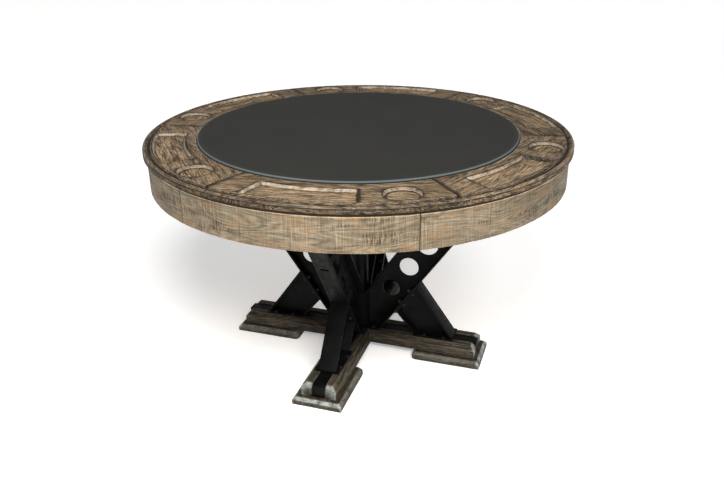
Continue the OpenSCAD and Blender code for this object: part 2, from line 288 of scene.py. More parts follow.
def arc(centre, radius, start_deg, end_deg, count):
    """Points of an arc in a section."""
    angles = np.radians(np.linspace(start_deg, end_deg, count))
    return [(centre[0] + radius * math.cos(a), centre[1] + radius * math.sin(a)) for a in angles]


def level(z, stops, step):
    """Points of a section at one height, at the radii that lines gives."""
    return [(r, z) for r in lines(stops, step)]


def upright(r, stops, step):
    """Points of a section at one radius, at the heights that lines gives."""
    return [(r, z) for z in lines(stops, step)]


class Sweep:
    """A section of (radius, height) points swept round the axis: one row of points for each turn."""

    def __init__(self, section, turn_deg, start_deg):
        self.section = np.array(section)
        self.turn = turn_deg
        self.rows, self.columns = len(turn_deg), len(section)
        self.t = np.repeat(turn_deg, self.columns)
        self.r, self.z = np.tile(self.section.T, self.rows)
        self.nr, self.nz = np.tile(section_normals(section).T, self.rows)
        self.angle = np.radians(start_deg + self.t)

    def push(self, distance):
        """Moves the points outwards along the section's normals."""
        self.r = self.r + self.nr * distance
        self.z = self.z + self.nz * distance

    def points(self, pushed=0.0):
        """All points as (x, y, z), as if pushed outwards along the section's normals."""
        r = self.r + self.nr * pushed
        z = self.z + self.nz * pushed
        return np.stack([r * np.cos(self.angle), r * np.sin(self.angle), z], 1)

    def to_end(self, deg_per_mm):
        """Distance of each point from the nearer end of its segment, in millimetres."""
        seam = SEAM * deg_per_mm
        return np.minimum(self.t - seam, SEGMENT_DEG - seam - self.t) / deg_per_mm

    def faces(self, hole=None):
        """Quads all round the sweep, except where the hole is, and a face over each end."""
        cells = [(a, d, c, b) for a, b, c, d in grid_faces(self.rows, self.columns)]
        if hole is not None:
            cells = [cell for cell, left_out in zip(cells, hole.flat) if not left_out]
        return cells + [face[::-1] for face in end_faces(self.rows, self.columns)]


def segment_turn(deg_per_mm, end_steps, middle_stops, step):
    """Turns of a segment's rows, in degrees: through the stops, and closer together at both ends."""
    seam = SEAM * deg_per_mm
    start = [seam + w * deg_per_mm for w in end_steps]
    end = [SEGMENT_DEG - s for s in start[::-1]]
    return lines(start + middle_stops + end, step * deg_per_mm)


# -------- material helpers

class Nodes:
    """Builds one material's node tree."""

    def __init__(self, name):
        self.material = bpy.data.materials.new(name)
        self.material.use_nodes = True
        self.tree = self.material.node_tree
        self.shader = self.tree.nodes["Principled BSDF"]

    def add(self, kind, values=None, **links):
        """A new node; values set its inputs or properties, and links join its inputs to sockets."""
        node = self.tree.nodes.new("ShaderNode" + kind)
        for key, value in (values or {}).items():
            if key in node.inputs:
                node.inputs[key].default_value = value
            else:
                setattr(node, key, value)
        for key, source in links.items():
            self.tree.links.new(source, node.inputs[key])
        return node

    def attribute(self, name, output="Fac"):
        return self.add("Attribute", {"attribute_name": name}).outputs[output]

    def place(self):
        """Each point's place on its own piece, in metres."""
        return self.add("TexCoord").outputs["Object"]

    def noise(self, vector, scale, detail=4.0, roughness=0.55, distortion=0.0):
        values = {"Scale": scale, "Detail": detail, "Roughness": roughness, "Distortion": distortion}
        return self.add("TexNoise", values, Vector=vector).outputs["Fac"]

    def streaks(self, vector, scales, *look):
        """Noise with its own scale along each axis."""
        stretched = self.add("Mapping", {"Scale": scales}, Vector=vector).outputs["Vector"]
        return self.noise(stretched, 1.0, *look)

    def ramp(self, source, stops):
        """A colour ramp; stops are (place, colour) with grey numbers or RGB triples."""
        node = self.add("ValToRGB", Fac=source)
        elements = node.color_ramp.elements
        while len(elements) < len(stops):
            elements.new(0.5)
        for element, (place, colour) in zip(elements, stops):
            element.position = place
            rgb = (colour,) * 3 if np.isscalar(colour) else colour
            element.color = (*rgb, 1)
        return node.outputs["Color"]

    def join(self, node, index, value):
        """Links a socket to an input, or sets the input to a number or an RGB triple."""
        if isinstance(value, bpy.types.NodeSocket):
            self.tree.links.new(value, node.inputs[index])
        elif np.isscalar(value):
            node.inputs[index].default_value = value
        else:
            node.inputs[index].default_value = (*value, 1)

    def mix(self, factor, a, b):
        """Mixes two colours; each may be a socket or an RGB triple."""
        node = self.add("Mix", {"data_type": "RGBA"})
        colour_a, colour_b, colour_out = 6, 7, 2
        for index, value in ((0, factor), (colour_a, a), (colour_b, b)):
            self.join(node, index, value)
        return node.outputs[colour_out]

    def math(self, operation, a, b=0.0):
        node = self.add("Math", {"operation": operation})
        self.join(node, 0, a)
        self.join(node, 1, b)
        return node.outputs[0]

    def plus(self, a, b):
        return self.math("ADD", a, b)

    def times(self, a, b):
        return self.math("MULTIPLY", a, b)

    def bump(self, height, distance, strength=1.0):
        node = self.add("Bump", {"Distance": distance, "Strength": strength}, Height=height)
        return node.outputs["Normal"]

    def finish(self, colour, roughness, normal=None, **values):
        """Joins the shader up; values are constants for its other inputs, with _ for each space."""
        self.join(self.shader, "Base Color", colour)
        self.join(self.shader, "Roughness", roughness)
        if normal:
            self.join(self.shader, "Normal", normal)
        for key, value in values.items():
            self.shader.inputs[key.replace("_", " ")].default_value = value
        return self.material


# -------- wood

def bent_grain(n, grain):
    """The grain's coordinates, made to wander a little along the board."""
    wander = n.streaks(grain, (3.5, 11, 11), 2.0)
    drift = n.add("CombineXYZ", Y=n.times(wander, 0.05), Z=n.times(wander, 0.02))
    bent = n.add("VectorMath", {"operation": "ADD"}, Vector=grain)
    n.join(bent, 1, drift.outputs[0])
    return bent.outputs[0]


def grain_colour(n, grain, bent, streak, tones, strengths):
    """The wood's colour before saw marks and glaze, from rings, streaks, patches and hue."""
    dark, middle, light, warm = tones
    # rings: contours of a smooth field, close together where it is steep
    hills = n.streaks(bent, (2.6, 14, 14), 1.5, 0.4)
    rings = n.math("SINE", n.times(hills, 150.0))
    fine = n.streaks(bent, (15, 400, 400), 4.0, 0.7)
    patch = n.streaks(grain, (6, 16, 16), 5.0, 0.65)
    speckle = n.noise(grain, 520.0, 2.0, 0.7)
    figure = n.times(rings, strengths[0])
    weights = ((streak, strengths[1]), (fine, strengths[2]), (patch, 0.7), (speckle, 0.6))
    for source, strength in weights:
        figure = n.plus(figure, n.times(n.math("SUBTRACT", source, 0.5), strength))
    figure = n.plus(figure, 0.5)
    base = n.ramp(figure, [(0.12, dark), (0.48, middle), (0.85, light)])
    hue = n.streaks(grain, (11, 34, 34), 4.0, 0.6)
    base = n.mix(n.ramp(hue, [(0.50, 0.0), (0.68, 0.55)]), base, warm)
    cool = (0.75 * dark[0], 0.85 * dark[1], dark[2])
    return n.mix(n.ramp(hue, [(0.30, 0.35), (0.44, 0.0)]), base, cool)


def saw_marked(n, grain, base, tones, saw_marks):
    """Adds marks across the grain, faint everywhere and dark in patches; also returns where they are."""
    dark, _, light, _ = tones
    brushing = n.streaks(grain, (330, 9, 9), 4.0, 0.75, 0.3)
    patches = n.streaks(grain, (9, 7, 7), 4.0, 0.6)
    brushed_at = n.ramp(patches, [(0.38, 0.35), (0.60, 1.0)])
    faint = n.ramp(brushing, [(0.34, 1.0), (0.56, 0.0)])
    lifted = n.times(n.ramp(brushing, [(0.54, 0.0), (0.72, 1.0)]), brushed_at)
    base = n.mix(n.times(lifted, saw_marks), base, light)
    sawn = n.plus(n.times(n.attribute("sawn"), 0.45), saw_marks)
    base = n.mix(n.times(n.times(faint, brushed_at), sawn), base, dark)
    return base, faint


def saw_teeth(n, grain):
    """Rows of short dark saw cuts, in a few places."""
    teeth = n.streaks(grain, (330, 30, 30), 3.0, 0.6)
    where = n.streaks(grain, (6, 26, 26), 2.0, 0.5)
    return n.times(n.ramp(teeth, [(0.44, 1.0), (0.52, 0.0)]),
                  n.ramp(where, [(0.57, 0.0), (0.66, 1.0)]))


def wear_glaze_and_painted_light(n, grain, base, glaze_and_shade, wear_and_highlight_tint, edge_gain):
    """Pale worn edges and painted highlights, brightness with painted light and shade, and darkness in
    hollows, from glaze and from painted shade.
    """
    # the edge attribute holds edge wear and painted highlights
    edge = n.attribute("edge")
    broken = n.streaks(grain, (45, 45, 45), 5.0, 0.7)
    worn = n.times(n.ramp(edge, [(0.10, 0.0), (0.45, 1.0)]),
                  n.ramp(broken, [(0.36, 0.1), (0.58, 1.0)]))
    base = n.mix(n.times(worn, edge_gain), base, wear_and_highlight_tint)
    # brightness, holding painted light and shade
    brightness = n.plus(n.attribute("tone_and_painted_light"), 1.0)
    base = n.add("VectorMath", {"operation": "SCALE"}, Vector=base, Scale=brightness).outputs[0]
    # darker in hollows
    hollow = n.ramp(n.times(edge, -1.0), [(0.08, 0.0), (0.40, 0.8)])
    dark_at = n.math("MAXIMUM", n.attribute("glaze_and_shade"), hollow)
    breaks = n.streaks(grain, (40, 190, 190), 5.0, 0.7)
    ragged = n.ramp(breaks, [(0.32, 0.5), (0.52, 1.0)])
    return n.mix(n.math("MINIMUM", n.times(dark_at, ragged), 0.93), base, glaze_and_shade)


def aged_wood(n, tones, glaze_and_shade, wear_and_highlight_tint, strengths, saw_marks, edge_gain, saw_patches=0.0):
    """Wire brushed, weathered oak. The attribute "grain" is metres along, across and into the wood.

    tones are four colours: dark, middle, light and the warm tan of fresh wood.
    strengths weigh the rings, the broad streaks, the fine streaks and the open pores."""
    grain = n.attribute("grain", "Vector")
    bent = bent_grain(n, grain)
    streak = n.streaks(bent, (9, 150, 150), 4.0, 0.6)
    base = grain_colour(n, grain, bent, streak, tones, strengths)

    fibre = n.streaks(bent, (45, 900, 900), 3.0, 0.7)
    open_pores = n.ramp(fibre, [(0.38, 1.0), (0.47, 0.0)])
    base = n.mix(n.times(open_pores, strengths[3]), base, glaze_and_shade)
    height = n.plus(n.times(streak, 0.8), n.times(open_pores, -0.4))

    base, faint = saw_marked(n, grain, base, tones, saw_marks)
    height = n.plus(height, n.times(faint, -0.5 * saw_marks))
    if saw_patches:
        base = n.mix(n.times(saw_teeth(n, grain), saw_patches), base, glaze_and_shade)

    base = wear_glaze_and_painted_light(n, grain, base, glaze_and_shade, wear_and_highlight_tint, edge_gain)
    dull, polished = n.ramp(streak, [(0.2, 0.75), (0.8, 0.50)]), (0.40, 0.40, 0.40)
    rough = n.mix(n.attribute("polish"), dull, polished)
    return n.finish(base, rough, n.bump(height, 0.0006, 0.9), Specular_IOR_Level=0.12)


def plywood(n):
    """Unfinished softwood and plywood for hidden pieces."""
    place = n.place()
    veneer = n.streaks(place, (6, 90, 700), 5.0, 0.6)
    cloud = n.noise(place, 9.0, 3.0)
    stops = [(0.25, (0.33, 0.22, 0.12)), (0.55, (0.52, 0.38, 0.23)), (0.8, (0.62, 0.49, 0.32))]
    base = n.mix(n.ramp(cloud, [(0.4, 0.0), (0.75, 0.5)]), n.ramp(veneer, stops), (0.42, 0.30, 0.18))
    return n.finish(base, 0.8, n.bump(veneer, 0.0003, 0.5))


# -------- other materials

def felt(n):
    """Charcoal wool felt with short, matted fibres, with a painted highlight on the rounded edge."""
    place = n.place()
    fibre = n.noise(place, 1600.0, 3.0, 0.8)
    mat = n.noise(place, 260.0, 4.0, 0.6)
    cloud = n.noise(place, 6.0, 5.0, 0.6)
    base = n.ramp(fibre, [(0.3, (0.007, 0.0068, 0.0056)), (0.7, (0.016, 0.0156, 0.0132))])
    base = n.mix(n.ramp(cloud, [(0.35, 0.0), (0.7, 0.25)]), base, (0.020, 0.0195, 0.0168))
    # painted highlight on the rounded edge
    base = n.mix(n.times(n.attribute("painted_rim_highlight"), 0.42), base, (0.17, 0.20, 0.21))
    height = n.plus(fibre, n.times(mat, 0.8))
    return n.finish(base, 0.95, n.bump(height, 0.0004, 0.6), Sheen_Weight=0.03, Sheen_Roughness=0.5,
                    Specular_IOR_Level=0.12)


def foam(n):
    """Dense grey foam with fine cells."""
    cells = n.noise(n.place(), 900.0, 2.0, 0.6)
    return n.finish(n.ramp(cells, [(0.3, 0.16), (0.7, 0.30)]), 0.95, n.bump(cells, 0.0006))


def black_iron(n):
    """Cast iron with a satin black coat, thin on its edges."""
    place = n.place()
    cast = n.noise(place, 420.0, 5.0, 0.65)
    cloud = n.noise(place, 14.0, 4.0, 0.6)
    base = n.ramp(cloud, [(0.35, (0.0012, 0.0012, 0.0012)), (0.70, (0.0042, 0.0045, 0.0047))])
    scuff = n.noise(place, 75.0, 6.0, 0.75)
    worn = n.times(n.ramp(n.attribute("edge"), [(0.12, 0.0), (0.5, 1.0)]),
                  n.ramp(scuff, [(0.42, 0.0), (0.62, 1.0)]))
    base = n.mix(n.times(worn, 0.4), base, (0.045, 0.050, 0.053))
    rough = n.ramp(n.noise(place, 38.0, 6.0, 0.75), [(0.32, 0.34), (0.68, 0.64)])
    return n.finish(base, rough, n.bump(cast, 0.0005, 0.8), Specular_IOR_Level=0.07)


def fastener_steel(n):
    """Dark zinc on steel."""
    dull = n.noise(n.place(), 300.0, 4.0, 0.7)
    base = n.ramp(dull, [(0.3, (0.018, 0.018, 0.019)), (0.7, (0.055, 0.055, 0.057))])
    rough = n.ramp(dull, [(0.3, 0.55), (0.7, 0.35)])
    return n.finish(base, rough, n.bump(dull, 0.0001), Metallic=0.9)


WOODS = {
    "rail_wood": {
        "tones": ((0.013, 0.009, 0.005), (0.108, 0.073, 0.04), (0.29, 0.216, 0.138), (0.24, 0.14, 0.064)),
        "glaze_and_shade": (0.005, 0.004, 0.003), "wear_and_highlight_tint": (0.46, 0.41, 0.35),
        "strengths": (0.14, 1.3, 3.2, 1.0), "saw_marks": 0.2, "edge_gain": 0.55},
    "apron_wood": {
        "tones": ((0.05, 0.041, 0.028), (0.194, 0.152, 0.098), (0.352, 0.292, 0.208), (0.3, 0.176, 0.09)),
        "glaze_and_shade": (0.018, 0.015, 0.012), "wear_and_highlight_tint": (0.6, 0.36, 0.18),
        "strengths": (0.11, 0.3, 1.0, 0.4), "saw_marks": 0.75, "edge_gain": 0.8, "saw_patches": 0.8},
    "foot_wood": {
        "tones": ((0.006, 0.005, 0.003), (0.035, 0.028, 0.018), (0.13, 0.11, 0.079), (0.09, 0.062, 0.031)),
        "glaze_and_shade": (0.008, 0.007, 0.006), "wear_and_highlight_tint": (0.36, 0.39, 0.37),
        "strengths": (0.1, 0.8, 1.5, 0.6), "saw_marks": 0.2, "edge_gain": 0.85},
}
MATERIALS = {name: aged_wood(Nodes(name), **look) for name, look in WOODS.items()}
for make in (plywood, felt, foam, black_iron, fastener_steel):
    MATERIALS[make.__name__] = make(Nodes(make.__name__))


# -------- the rail

def rail_section():
    """The rail's closed section, anticlockwise from its inner lower corner.

    Also returns the number of the first point of its flat top, and of the first after it."""
    under = level(RAIL_Z0, [RAIL_IN + 1, RAIL_OUT - LOWER_EDGE], 20)
    lower_edge = arc((RAIL_OUT - LOWER_EDGE, RAIL_Z0 + LOWER_EDGE), LOWER_EDGE, -80, 0, 5)
    face = upright(RAIL_OUT, [RAIL_Z0 + 5, QUIRK_Z - 2], 2.5)
    quirk = [(RAIL_OUT - 0.1, QUIRK_Z - 1), (RAIL_OUT - 1.1, QUIRK_Z), (RAIL_OUT - 0.2, QUIRK_Z + 0.9)]
    bead = arc((RAIL_OUT - BEAD_R, RAIL_TOP - 1 - BEAD_R), BEAD_R, 0, 150, 13)
    cove = arc((COVE_PLACE, RAIL_TOP), COVE_R, -38, -172, 11)
    shoulder = arc((COVE_PLACE - COVE_R - 0.9, RAIL_TOP - 1.0), 1.0, 45, 90, 3)
    corner_r, corner_z = RAIL_IN + INNER_EDGE, RAIL_TOP - INNER_EDGE
    stops = [corner_r] + near(TRAY_IN + 1, EDGE_STEPS) + near(TRAY_OUT - 1, EDGE_STEPS)
    top = level(RAIL_TOP, stops + [shoulder[-1][0] - 0.8], 2.4)[::-1]
    inner_edge = arc((corner_r, corner_z), INNER_EDGE, 100, 180, 5)
    wall = upright(RAIL_IN, [RAIL_Z0 + 1, corner_z - 1], 5)[::-1]
    outside = under + lower_edge + face + quirk + bead + cove + shoulder
    return outside + top + inner_edge + wall, len(outside), len(outside + top)


def rail_turn():
    """Turns of a rail segment's rows, closer together at the ends of the segment and of its tray."""
    steps = [w * RAIL_DEG for w in EDGE_STEPS]
    stops = near(TRAY_START_DEG, steps) + near(TRAY_END_DEG, steps)
    stops += [CUP_DEG - CUP_HALF_DEG, CUP_DEG + CUP_HALF_DEG]
    return segment_turn(RAIL_DEG, (0, 0.4, 0.9, 1.6, 3), stops, 2.6)


def tray_depth(inside):
    """Depth at a distance inside the tray's edge: a rounded lip, a leaning wall and a filleted foot."""
    lip = 0.6 * rise(inside, -1.0, 0.6)
    wall = (RECESS - 1.8) * np.clip((inside - 0.2) / 3.2, 0, 1)
    foot = 1.2 * rise(inside, 2.8, 5.4)
    return lip + wall + foot


def box_inside(x, y, half_x, half_y, corner):
    """Distance inside a rectangle with round corners, negative outside."""
    qx = np.abs(x) - half_x + corner
    qy = np.abs(y) - half_y + corner
    outside = np.hypot(np.maximum(qx, 0), np.maximum(qy, 0)) + np.minimum(np.maximum(qx, qy), 0)
    return corner - outside


def board_grain(points, index):
    """Grain of a rail segment, which is sawn from one straight board: along, across and into it."""
    middle = math.radians(RAIL_JOINT_DEG + (index + 0.5) * SEGMENT_DEG)
    x, y, z = np.asarray(points).T
    along = y * math.cos(middle) - x * math.sin(middle)
    across = x * math.cos(middle) + y * math.sin(middle)
    return np.stack([along + 900 * index, across, z], 1) * MM


class RailSegment(Sweep):
    """The points of one sixth of the rail, without its cup recess.

    After wear, verts and z are worn, but r is still the radius of the unworn shape."""

    def __init__(self, index):
        section, self.top_start, self.top_stop = rail_section()
        super().__init__(section, rail_turn(), RAIL_JOINT_DEG + index * SEGMENT_DEG)
        self.index = index
        self.on_top = np.tile(self.top_columns(), self.rows)
        self.end_mm = self.to_end(RAIL_DEG)
        self.ease_ends()
        self.cut_tray()
        self.blot = 0.5 + 0.5 * field(self.points(), 24, 5.5 + index)
        self.verts = self.points(self.wear())
        self.z = self.verts[:, 2]
        self.rim, self.up = self.r - RAIL_OUT, self.z - RAIL_TOP

    def top_columns(self):
        """Which points of the section lie on the flat top."""
        column = np.arange(self.columns)
        return (column >= self.top_start) & (column < self.top_stop)

    def ease_ends(self):
        """Rounds the edges at both joints, less so on the bead."""
        ease = 1.0 - 0.75 * rise(self.r, COVE_PLACE, RAIL_OUT - 6)
        self.push(-ease * fall(self.end_mm, 0, 1.5))

    def cut_tray(self):
        """Lowers the top in the tray, and notes each point's place in it."""
        stretch = self.r / TRAY_MIDDLE
        middle_deg = (TRAY_START_DEG + TRAY_END_DEG) / 2
        half_deg = (TRAY_END_DEG - TRAY_START_DEG) / 2
        self.along = (self.t - middle_deg) / RAIL_DEG * stretch
        self.across = self.r - TRAY_MIDDLE
        self.half_length = half_deg / RAIL_DEG * stretch - 1
        self.half_width = (TRAY_OUT - TRAY_IN) / 2
        corner = 2.0
        self.inside = box_inside(self.along, self.across, self.half_length, self.half_width - 1, corner)
        self.z = np.where(self.on_top, self.z - tray_depth(self.inside), self.z)

    def wear(self):
        """How far wear moves each point: slow waves, and small chips along the edges."""
        points = self.points()
        wave = field(points, 38, 3.1 + self.index) * 0.35 + field(points, 11, 7.7 + self.index) * 0.16
        at_edge = np.maximum(ridge(self.inside, 0, 2.2) * self.on_top, ridge(self.r, RAIL_OUT, 4))
        chips = np.clip(field(points, 9, 11.3 + self.index) - 0.15, 0, 1) * 1.3 * at_edge
        return np.minimum(wave - 0.35, 0.1) - chips

    def tray_wall(self):
        """The tray's wall, all round it."""
        return self.on_top * rise(self.inside, -0.4, 0.2) * fall(self.inside, 4.0, 4.8)

    def outer_band(self):
        """The flat strip between the tray and the bead."""
        return rise(self.r, TRAY_OUT - 4, COVE_PLACE - 2) * fall(self.rim, -9, -6)

    def moulding_glaze_and_shade(self):
        """Dark glaze in the joints, scraped patches and outer band, darker cove and quirk, and painted
        shade along the lower edge.
        """
        z, rim, blot = self.z, self.rim, self.blot
        inboard = fall(rim, -12, -3)
        joint = ridge(self.end_mm, 0, 2.0) * (0.4 + 1.2 * inboard)
        from_start = np.maximum(self.t / RAIL_DEG - 2, 0)
        one_side = ridge(from_start, 0, 11.0) + 0.5 * ridge(self.end_mm, 0, 16.0)
        scraped = one_side * np.clip(blot * 1.5 - 0.1, 0, 1) * 0.8 * inboard
        band = self.outer_band() * (0.1 + 0.45 * blot)
        # darker in the cove and the quirk
        in_cove = 1.4 * ridge(self.r, COVE_PLACE, 3.8) * (z > QUIRK_Z)
        quirk = ridge(z, QUIRK_Z, 1.8) * (rim > -3)
        # painted shade: the shadow line under the rail's lower edge
        lower_edge = 2.2 * ridge(z, RAIL_Z0, 2.8) * (rim > -6)
        return np.maximum.reduce([joint, scraped, band, in_cove, quirk, lower_edge])

    def tray_glaze_and_shade(self):
        """Dark glaze round the tray, and painted shade at the foot of its wall, in its corners and in its
        last end.
        """
        inside, blot = self.inside, self.blot
        # a dark line at the lip, and painted shade at the foot of the wall
        line = 1.3 * ridge(inside, -2.4, 1.7) + ridge(inside, 6.8, 1.7)
        halo = ridge(inside, -5, 5.0) * np.clip(blot * 1.6 - 0.3, 0, 1)
        ends = 0.8 * ridge(inside, -3, 7.0) * (np.abs(self.across) < 50) * np.clip(blot * 2 - 1.0, 0, 1)
        from_corner = (self.half_length - np.abs(self.along)) - (self.half_width - np.abs(self.across))
        # painted shade in the tray's corners
        corner = self.tray_wall() * ridge(from_corner, 0, 2.5)
        # painted shade on the tray's last end wall, turned away from the light
        last_end = rise(self.along - self.half_length, -13 + 8 * blot, -2)
        last_end = TRAY_END_PAINTED_SHADE[self.index] * last_end * rise(inside, -3, 0.5)
        return self.on_top * np.maximum.reduce([line, halo, ends, corner, last_end])

    def looks(self):
        """Darkness from glaze and painted shade, brightness with painted light, polish, painted highlight
        as least edge wear, and sawn look of every point.
        """
        z, rim, up = self.z, self.rim, self.up
        glaze_and_shade = np.maximum(self.moulding_glaze_and_shade(), self.tray_glaze_and_shade())
        wall, tray_floor = self.tray_wall(), self.on_top * rise(self.inside, 4, 6)
        # painted highlight: the tray's wall brighter
        tone_and_painted_light = (1 + 0.35 * wall + 0.33 * tray_floor) * (1 - 0.15 * self.outer_band())
        side = rise(rim, -2, 0) * (z < QUIRK_Z)
        bead = rise(rim, -11, -8) * (z > QUIRK_Z)
        # painted shade: outer face and bead darker, by how the light falls on each segment
        tone_and_painted_light *= 1 - RIM_PAINTED_SHADE[self.index] * (0.40 * side + 0.34 * bead)
        polish = rise(rim, -10, -8) * rise(up, -5, -4)
        crest = rise(rim, -8, -7) * rise(up, -3.4, -2.2)
        # painted highlight on the tray's wall and the bead's crest
        painted_highlight = np.maximum((0.18 + 0.22 * rise(self.blot, 0.25, 0.55)) * wall, 0.12 * crest)
        return np.stack([glaze_and_shade, tone_and_painted_light, polish, painted_highlight, side], 1)

    def cup_hole(self):
        """Cells of the grid that are left out for the cup recess: a block of the flat top."""
        slack = 1e-9
        rows = np.abs(self.turn - CUP_DEG) <= CUP_HALF_DEG + slack
        rows = rows[:-1] & rows[1:]
        near_cup = np.abs(self.section[:, 0] - CUP_PLACE) < CUP_R + CUP_MARGIN
        columns = near_cup & self.top_columns()
        return rows[:, None] & columns & np.roll(columns, -1)


def hole_border(hole):
    """The grid points round a rectangular hole, in order."""
    (i0, i1), (j0, j1) = [np.where(hole.any(axis))[0][[0, -1]] for axis in (1, 0)]
    border = [(i, j0) for i in range(i0, i1 + 1)]
    border += [(i1 + 1, j) for j in range(j0, j1 + 1)]
    border += [(i, j1 + 1) for i in range(i1 + 1, i0, -1)]
    border += [(i0, j) for j in range(j1 + 1, j0, -1)]
    return [i * hole.shape[1] + j for i, j in border]


def cup_look(radius, depth):
    """What RailSegment.looks gives, for one ring of the cup recess."""
    # a dark line at the lip, and painted shade at the foot of the wall
    dark = ridge(radius - CUP_R, 2.2, 1.9) + 0.8 * ridge(radius - CUP_R, -6.0, 3.2)
    # painted highlight: the wall brighter and paler
    on_wall = 0.2 < depth < 8.5
    tone_and_painted_light = 1.35 if on_wall else 1.0 if depth < 0.2 else 1.25
    return [min(1.4 * dark, 1.4), tone_and_painted_light, 0, 0.36 * on_wall, 0]


def add_cup(verts, looks, faces, border, index):
    """Fills the hole inside the border with rings that run down into the round cup recess."""
    angle = math.radians(RAIL_JOINT_DEG + index * SEGMENT_DEG + CUP_DEG)
    centre = CUP_PLACE * np.array([math.cos(angle), math.sin(angle)])
    outer = verts[border][:, :2] - centre
    direction = outer / np.linalg.norm(outer, axis=1)[:, None]
    border_rise = verts[border][:, 2] - RAIL_TOP
    follow = 1.0
    previous, count = border, len(border)
    for radius, depth in CUP_PROFILE:
        ring = np.column_stack([centre + direction * radius, np.full(count, RAIL_TOP - depth)])
        wobble = field(ring, 24, 9.0 + index) * 0.18 - 0.25
        ring[:, 2] += follow * border_rise + (1 - follow) * wobble
        follow = max(0.0, follow - 0.35)
        current = list(range(len(verts), len(verts) + count))
        verts = np.vstack([verts, ring])
        looks = np.vstack([looks, np.tile(cup_look(radius, depth), (count, 1))])
        for a in range(count):
            b = (a + 1) % count
            faces.append((previous[a], previous[b], current[b], current[a]))
        previous = current
    faces.append(tuple(previous))
    return verts, looks, faces


def rail_segment(index):
    """One sixth of the rail: a section swept round the axis, with its tray and cup recess."""
    rail = RailSegment(index)
    hole = rail.cup_hole()
    verts, looks, faces = add_cup(rail.verts, rail.looks(), rail.faces(hole), hole_border(hole), index)
    glaze_and_shade, tone_and_painted_light, polish, painted_highlight, sawn = looks.T
    attributes = {"grain": board_grain(verts, index), "glaze_and_shade": np.clip(glaze_and_shade, 0, 2), "tone_and_painted_light": tone_and_painted_light - 1,
                  "polish": polish, "sawn": sawn}
    obj = new_piece(f"rail_piece_{index + 1}", verts, faces, "rail_wood", attributes,
                    f"rail_segment_{index + 1}")
    # the painted highlight sets the least edge value, which turns pale
    mark_edges(obj, at_least=painted_highlight)
    shade(obj, 50)


# -------- the apron

def apron_section():
    """The apron's closed section, anticlockwise from its inner lower corner."""
    edge = APRON_EDGE
    section = level(APRON_Z0, [APRON_IN + 1, APRON_OUT - edge - 0.2], 6)
    section += arc((APRON_OUT - edge, APRON_Z0 + edge), edge, -80, -10, 5)
    stops = [APRON_Z0 + edge + 1] + near(APRON_Z1 - APRON_LINE, (2.6, 1.3)) + [APRON_Z1 - edge - 1]
    section += upright(APRON_OUT, stops, 3)
    section += arc((APRON_OUT - edge, APRON_Z1 - edge), edge, 10, 90, 5)
    section += level(APRON_Z1, [APRON_IN + 1, APRON_OUT - edge - 1], 6)[::-1]
    return section + upright(APRON_IN, [APRON_Z0 + 1, APRON_Z1 - 1], 12)[::-1]


def apron_wear(apron, index):
    """How far wear moves each point of the apron."""
    points = apron.points()
    wave = field(points, 45, 20 + index) * 0.35 + field(points, 12, 31 + index) * 0.12
    to_edge = np.minimum(apron.z - APRON_Z0, APRON_Z1 - apron.z)
    chips = np.clip(field(points, 10, 41 + index) - 0.1, 0, 1) * 1.4 * ridge(to_edge, 0, 4.0)
    outer = rise(apron.r, APRON_OUT - 8, APRON_OUT - 3)
    return (np.minimum(wave - 0.35, 0.0) - chips) * outer


def apron_piece(index):
    """One sixth of the apron, with eased long edges and slightly uneven faces."""
    turn = segment_turn(APRON_DEG, (0, 0.4, 0.9, 1.6), [], 3.2)
    apron = Sweep(apron_section(), turn, APRON_JOINT_DEG + index * SEGMENT_DEG)
    end_mm = apron.to_end(APRON_DEG)
    eased_end = fall(end_mm, 0, 1.4)
    apron.push(apron_wear(apron, index) - eased_end)
    # painted shadow under the rail's overhang, and a painted highlight line below it
    below_top = APRON_Z1 - apron.z
    shadow = fall(below_top, APRON_LINE - 3.4, APRON_LINE - 1.2)
    lit_line = ridge(below_top, APRON_LINE, 1.5)
    grain = np.stack([np.radians(apron.t) * APRON_OUT + 800 * index, apron.z, apron.r], 1) * MM
    attributes = {"grain": grain, "glaze_and_shade": np.maximum(ridge(end_mm, 0, 1.6), 1.8 * shadow),
                  "tone_and_painted_light": 1.2 * lit_line}
    obj = new_piece(f"apron_piece_{index + 1}", apron.points(), apron.faces(), "apron_wood",
                    attributes, f"apron_{index + 1}")
    mark_edges(obj, at_least=0.3 * lit_line)
    shade(obj, 50)


# -------- the felt

def felt_section():
    """The outer and inner sides of the felt's section."""
    edge_r, edge_z = FELT_R - FELT_ROUND, FELT_TOP - FELT_ROUND
    inner_r, inner_z = FELT_R - FELT_THICK, FELT_Z0 + FELT_THICK
    field_r = [2, 120, 500]
    outer = level(FELT_TOP, field_r + [edge_r], 26)
    outer += arc((edge_r, edge_z), FELT_ROUND, 80, 0, 9)
    outer += upright(FELT_R, [FELT_Z0 + 4, edge_z - 3], 6)[::-1]
    outer += arc((FELT_R - 1.5, FELT_Z0 + 1.5), 1.5, 0, -90, 4)
    outer += level(FELT_Z0, [FELT_HEM_R, FELT_R - 4], 8)[::-1]
    inner = level(inner_z, [FELT_HEM_R, inner_r - 1], 12)
    inner += upright(inner_r, [inner_z + 1, edge_z], 8)
    inner += arc((edge_r, edge_z), FELT_ROUND - FELT_THICK, 10, 90, 4)
    inner += level(FELT_TOP - FELT_THICK, field_r + [edge_r - 2], 60)[::-1]
    return outer, inner


